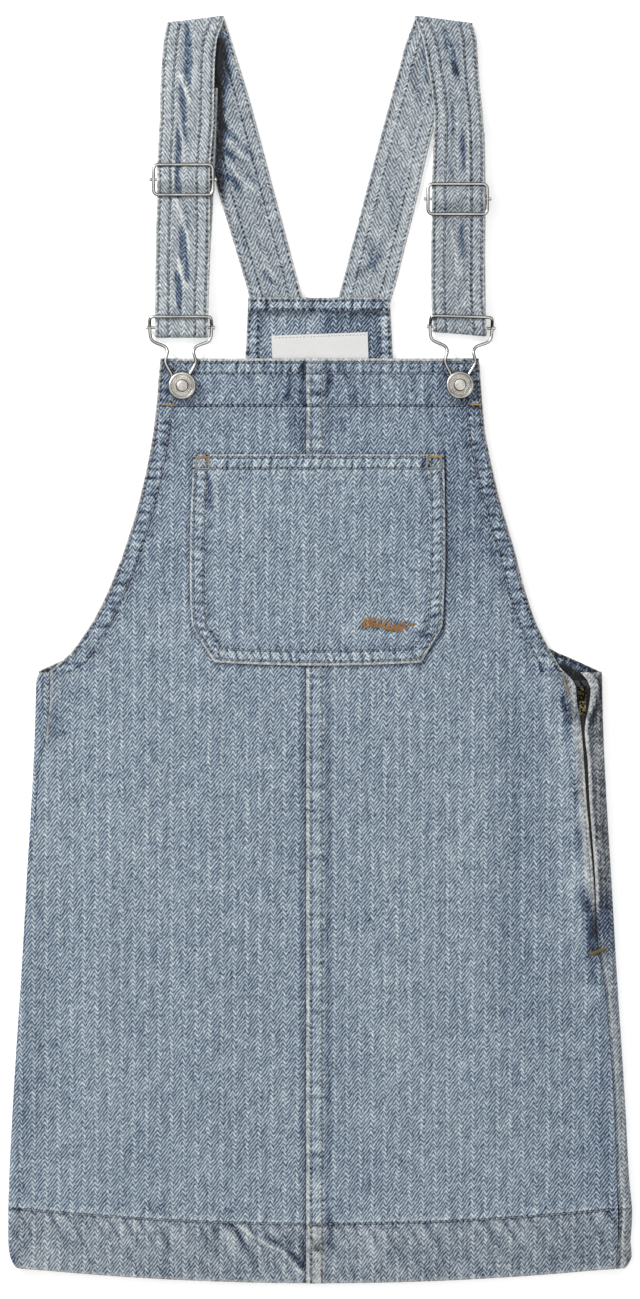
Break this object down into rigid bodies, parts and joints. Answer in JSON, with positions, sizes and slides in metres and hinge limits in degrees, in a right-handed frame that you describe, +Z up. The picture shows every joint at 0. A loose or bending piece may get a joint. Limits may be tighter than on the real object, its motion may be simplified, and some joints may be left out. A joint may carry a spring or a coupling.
{
  "type": "pinafore dress",
  "caption": "Pinafore dress in washed herringbone denim with a bib, adjustable buckled straps, a chest pocket and a side zip, laid flat on its back.",
  "frame": {"origin": "centre of the bounding box's underside, on the surface the dress lies on", "axes": "+Z up out of the front, +Y towards the straps, +X to the picture's right, which is the wearer's left"},
  "size_m": [0.3912, 0.7993, 0.011],
  "materials": {
    "denim": "washed herringbone twill",
    "label_cloth": "plain woven",
    "strap_metal": "polished wire",
    "button_metal": "satin",
    "zip_tape": "woven tape",
    "zip_metal": "antique"
  },
  "bodies": {
    "dress": {"front_panel_right": "denim", "front_panel_left": "denim", "back_panel_right": "denim", "back_panel_left": "denim", "back_top_hem": "denim", "chest_pocket": "denim", "label": "label_cloth", "strap_right": "denim", "strap_left": "denim", "slider_right": "strap_metal", "slider_left": "strap_metal", "buckle_right": "strap_metal", "buckle_left": "strap_metal", "button_right": "button_metal", "button_left": "button_metal", "zip_tape_front": "zip_tape", "zip_tape_back": "zip_tape", "zip_slider": "zip_metal"},
    "pull_tab": {"zip_pull": "zip_metal"}
  },
  "joints": [
    {"name": "pull_tab_hinge", "type": "hinge", "parent": "dress", "child": "pull_tab", "pos_m": [0.1657, -0.0275, 0.00735], "axis": [-1, 0, 0], "range_deg": [0, 150]}
  ]
}
